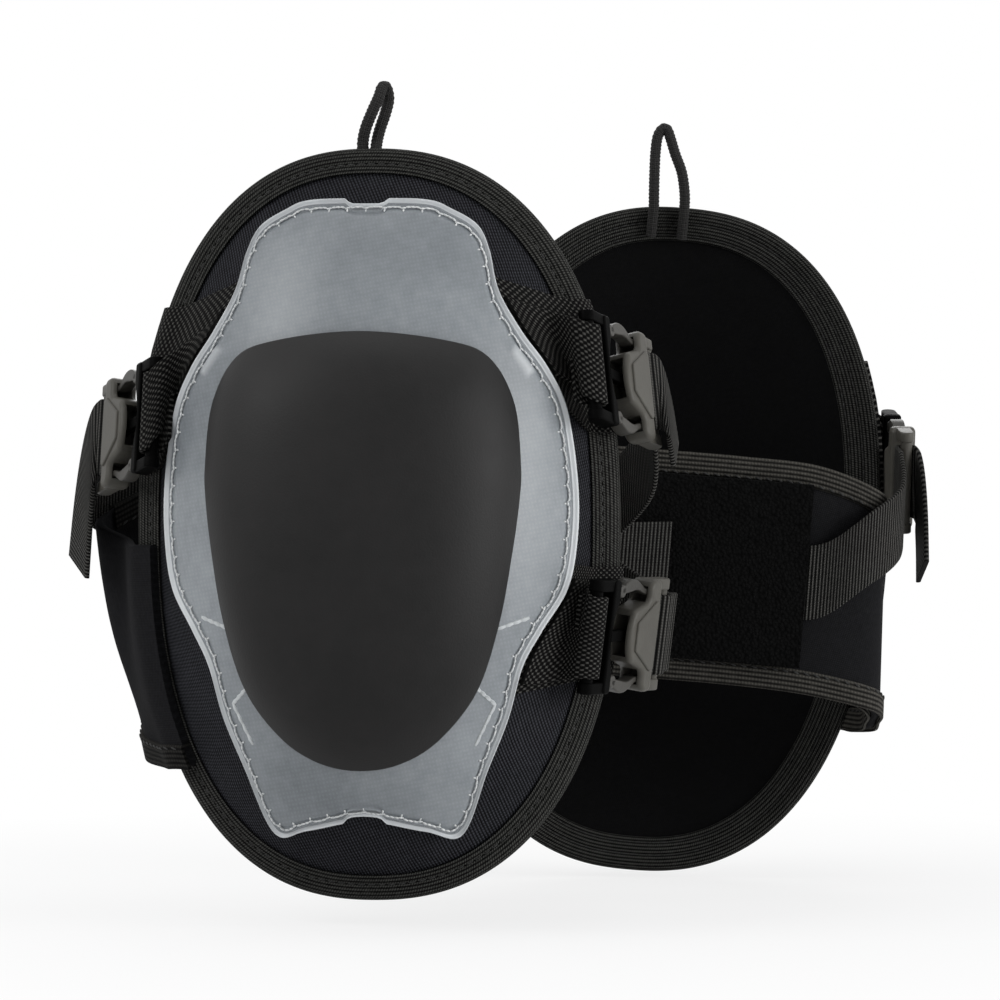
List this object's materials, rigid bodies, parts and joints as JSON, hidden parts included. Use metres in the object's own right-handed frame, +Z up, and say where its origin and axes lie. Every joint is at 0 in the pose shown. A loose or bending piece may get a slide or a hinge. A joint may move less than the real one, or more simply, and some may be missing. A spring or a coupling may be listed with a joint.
{
  "type": "knee pads",
  "caption": "Pair of hard-cap knee pads with domed rubber caps on clear flanges, padded cup bodies, side-release buckles, elastic straps and hanging loops.",
  "frame": {"origin": "where a hook bears in the front pad's hang loop", "axes": "+X to the right seen from the front cap, +Y from the front cap towards the rear pad, +Z up"},
  "size_m": [0.2797, 0.2754, 0.2573],
  "materials": {
    "lining_neoprene": "matt",
    "foam": "open cell",
    "gel": "gloss",
    "cover_fabric": "woven",
    "binding_tape": "ribbed",
    "clear_flange": "clear, lightly frosted",
    "cap_rubber": "satin",
    "cord": "braided",
    "webbing": "coarse woven",
    "buckle_plastic": "satin",
    "calf_neoprene": "matt",
    "calf_tape": "ribbed",
    "loop_pile": "looped pile",
    "elastic": "ribbed"
  },
  "bodies": {
    "front_pad": {"front_lining": "lining_neoprene", "front_foam_core": "foam", "front_gel_insert": "gel", "front_cover": "cover_fabric", "front_edge_binding": "binding_tape", "front_flange": "clear_flange", "front_cap": "cap_rubber", "front_hang_loop": "cord", "front_webbing_tabs": "webbing", "front_upper_left_plug": "buckle_plastic", "front_upper_right_plug": "buckle_plastic", "front_lower_right_plug": "buckle_plastic", "front_calf_strap": "calf_neoprene", "front_calf_strap_tape": "calf_tape", "front_pile_panel": "loop_pile", "front_thigh_strap": "elastic", "front_calf_elastic": "elastic"},
    "rear_pad": {"rear_lining": "lining_neoprene", "rear_foam_core": "foam", "rear_gel_insert": "gel", "rear_cover": "cover_fabric", "rear_edge_binding": "binding_tape", "rear_flange": "clear_flange", "rear_cap": "cap_rubber", "rear_hang_loop": "cord", "rear_webbing_tabs": "webbing", "rear_upper_left_plug": "buckle_plastic", "rear_upper_right_plug": "buckle_plastic", "rear_lower_right_plug": "buckle_plastic", "rear_calf_strap": "calf_neoprene", "rear_calf_strap_tape": "calf_tape", "rear_pile_panel": "loop_pile", "rear_thigh_strap": "elastic", "rear_calf_elastic": "elastic"},
    "front_upper_left_socket": {"front_upper_left_socket": "buckle_plastic"},
    "front_upper_left_top_prong": {"front_upper_left_top_prong": "buckle_plastic"},
    "front_upper_left_bottom_prong": {"front_upper_left_bottom_prong": "buckle_plastic"},
    "front_upper_right_socket": {"front_upper_right_socket": "buckle_plastic"},
    "front_upper_right_top_prong": {"front_upper_right_top_prong": "buckle_plastic"},
    "front_upper_right_bottom_prong": {"front_upper_right_bottom_prong": "buckle_plastic"},
    "front_lower_right_socket": {"front_lower_right_socket": "buckle_plastic"},
    "front_lower_right_top_prong": {"front_lower_right_top_prong": "buckle_plastic"},
    "front_lower_right_bottom_prong": {"front_lower_right_bottom_prong": "buckle_plastic"},
    "rear_upper_left_socket": {"rear_upper_left_socket": "buckle_plastic"},
    "rear_upper_left_top_prong": {"rear_upper_left_top_prong": "buckle_plastic"},
    "rear_upper_left_bottom_prong": {"rear_upper_left_bottom_prong": "buckle_plastic"},
    "rear_upper_right_socket": {"rear_upper_right_socket": "buckle_plastic"},
    "rear_upper_right_top_prong": {"rear_upper_right_top_prong": "buckle_plastic"},
    "rear_upper_right_bottom_prong": {"rear_upper_right_bottom_prong": "buckle_plastic"},
    "rear_lower_right_socket": {"rear_lower_right_socket": "buckle_plastic"},
    "rear_lower_right_top_prong": {"rear_lower_right_top_prong": "buckle_plastic"},
    "rear_lower_right_bottom_prong": {"rear_lower_right_bottom_prong": "buckle_plastic"}
  },
  "joints": [
    {"name": "front_upper_left_release", "type": "slide", "parent": "front_pad", "child": "front_upper_left_socket", "axis": [-0.4449, 0.8731, -0.1994], "range_m": [0, 0.021], "deforming": ["front_thigh_strap"]},
    {"name": "front_upper_left_top_squeeze", "type": "hinge", "parent": "front_pad", "child": "front_upper_left_top_prong", "pos_m": [-0.07513, 0.00414, -0.08746], "axis": [-0.8949, -0.4248, 0.1364], "range_deg": [0, 12.1]},
    {"name": "front_upper_left_bottom_squeeze", "type": "hinge", "parent": "front_pad", "child": "front_upper_left_bottom_prong", "pos_m": [-0.07608, -0.00251, -0.11444], "axis": [0.8949, 0.4248, -0.1364], "range_deg": [0, 12.1]},
    {"name": "front_upper_right_release", "type": "slide", "parent": "front_pad", "child": "front_upper_right_socket", "axis": [0.4751, 0.8571, -0.1994], "range_m": [0, 0.021], "deforming": ["front_thigh_strap"]},
    {"name": "front_upper_right_top_squeeze", "type": "hinge", "parent": "front_pad", "child": "front_upper_right_top_prong", "pos_m": [0.06795, -0.00779, -0.07363], "axis": [-0.8756, 0.438, -0.2037], "range_deg": [0, 12.1]},
    {"name": "front_upper_right_bottom_squeeze", "type": "hinge", "parent": "front_pad", "child": "front_upper_right_bottom_prong", "pos_m": [0.07037, -0.01533, -0.10028], "axis": [0.8756, -0.438, 0.2037], "range_deg": [0, 12.1]},
    {"name": "front_lower_right_release", "type": "slide", "parent": "front_pad", "child": "front_lower_right_socket", "axis": [0.5299, 0.848, 0], "range_m": [0, 0.021], "deforming": ["front_calf_elastic"]},
    {"name": "front_lower_right_top_squeeze", "type": "hinge", "parent": "front_pad", "child": "front_lower_right_top_prong", "pos_m": [0.07139, -0.01369, -0.15274], "axis": [-0.8398, 0.5248, 0.1392], "range_deg": [0, 12.1]},
    {"name": "front_lower_right_bottom_squeeze", "type": "hinge", "parent": "front_pad", "child": "front_lower_right_bottom_prong", "pos_m": [0.0681, -0.01164, -0.18027], "axis": [0.8398, -0.5248, -0.1392], "range_deg": [0, 12.1]},
    {"name": "rear_upper_left_release", "type": "slide", "parent": "rear_pad", "child": "rear_upper_left_socket", "axis": [0.0684, -0.9762, -0.2058], "range_m": [0, 0.021], "deforming": ["rear_thigh_strap"]},
    {"name": "rear_upper_left_top_squeeze", "type": "hinge", "parent": "rear_pad", "child": "rear_upper_left_top_prong", "pos_m": [0.17112, 0.15014, -0.10004], "axis": [0.9976, 0.0695, 0.0019], "range_deg": [0, 12.1]},
    {"name": "rear_upper_left_bottom_squeeze", "type": "hinge", "parent": "rear_pad", "child": "rear_upper_left_bottom_prong", "pos_m": [0.17078, 0.15585, -0.12725], "axis": [-0.9976, -0.0695, -0.0019], "range_deg": [0, 12.1]},
    {"name": "rear_upper_right_release", "type": "slide", "parent": "rear_pad", "child": "rear_upper_right_socket", "axis": [-0.1526, -0.9704, -0.1873], "range_m": [0, 0.021], "deforming": ["rear_thigh_strap"]},
    {"name": "rear_upper_right_top_squeeze", "type": "hinge", "parent": "rear_pad", "child": "rear_upper_right_top_prong", "pos_m": [0.02003, 0.14798, -0.07355], "axis": [0.9539, -0.0951, -0.2846], "range_deg": [0, 12.1]},
    {"name": "rear_upper_right_bottom_squeeze", "type": "hinge", "parent": "rear_pad", "child": "rear_upper_right_bottom_prong", "pos_m": [0.01285, 0.15415, -0.09969], "axis": [-0.9539, 0.0951, 0.2846], "range_deg": [0, 12.1]},
    {"name": "rear_lower_right_release", "type": "slide", "parent": "rear_pad", "child": "rear_lower_right_socket", "axis": [-0.4524, -0.891, 0.038], "range_m": [0, 0.021], "deforming": ["rear_calf_elastic"]},
    {"name": "rear_lower_right_top_squeeze", "type": "hinge", "parent": "rear_pad", "child": "rear_lower_right_top_prong", "pos_m": [0.0138, 0.15942, -0.15241], "axis": [0.8909, -0.4496, 0.0649], "range_deg": [0, 12.1]},
    {"name": "rear_lower_right_bottom_squeeze", "type": "hinge", "parent": "rear_pad", "child": "rear_lower_right_bottom_prong", "pos_m": [0.01493, 0.15766, -0.18013], "axis": [-0.8909, 0.4496, -0.0649], "range_deg": [0, 12.1]},
    {"name": "rear_pad_lift", "type": "slide", "parent": "front_pad", "child": "rear_pad", "axis": [0, 0, 1], "range_m": [0, 0.06]}
  ],
  "couplings": [
    {"joint": "front_upper_left_top_squeeze", "follows": "front_upper_left_release", "rad_per_m": 10},
    {"joint": "front_upper_left_bottom_squeeze", "follows": "front_upper_left_release", "rad_per_m": 10},
    {"joint": "front_upper_right_top_squeeze", "follows": "front_upper_right_release", "rad_per_m": 10},
    {"joint": "front_upper_right_bottom_squeeze", "follows": "front_upper_right_release", "rad_per_m": 10},
    {"joint": "front_lower_right_top_squeeze", "follows": "front_lower_right_release", "rad_per_m": 10},
    {"joint": "front_lower_right_bottom_squeeze", "follows": "front_lower_right_release", "rad_per_m": 10},
    {"joint": "rear_upper_left_top_squeeze", "follows": "rear_upper_left_release", "rad_per_m": 10},
    {"joint": "rear_upper_left_bottom_squeeze", "follows": "rear_upper_left_release", "rad_per_m": 10},
    {"joint": "rear_upper_right_top_squeeze", "follows": "rear_upper_right_release", "rad_per_m": 10},
    {"joint": "rear_upper_right_bottom_squeeze", "follows": "rear_upper_right_release", "rad_per_m": 10},
    {"joint": "rear_lower_right_top_squeeze", "follows": "rear_lower_right_release", "rad_per_m": 10},
    {"joint": "rear_lower_right_bottom_squeeze", "follows": "rear_lower_right_release", "rad_per_m": 10}
  ]
}
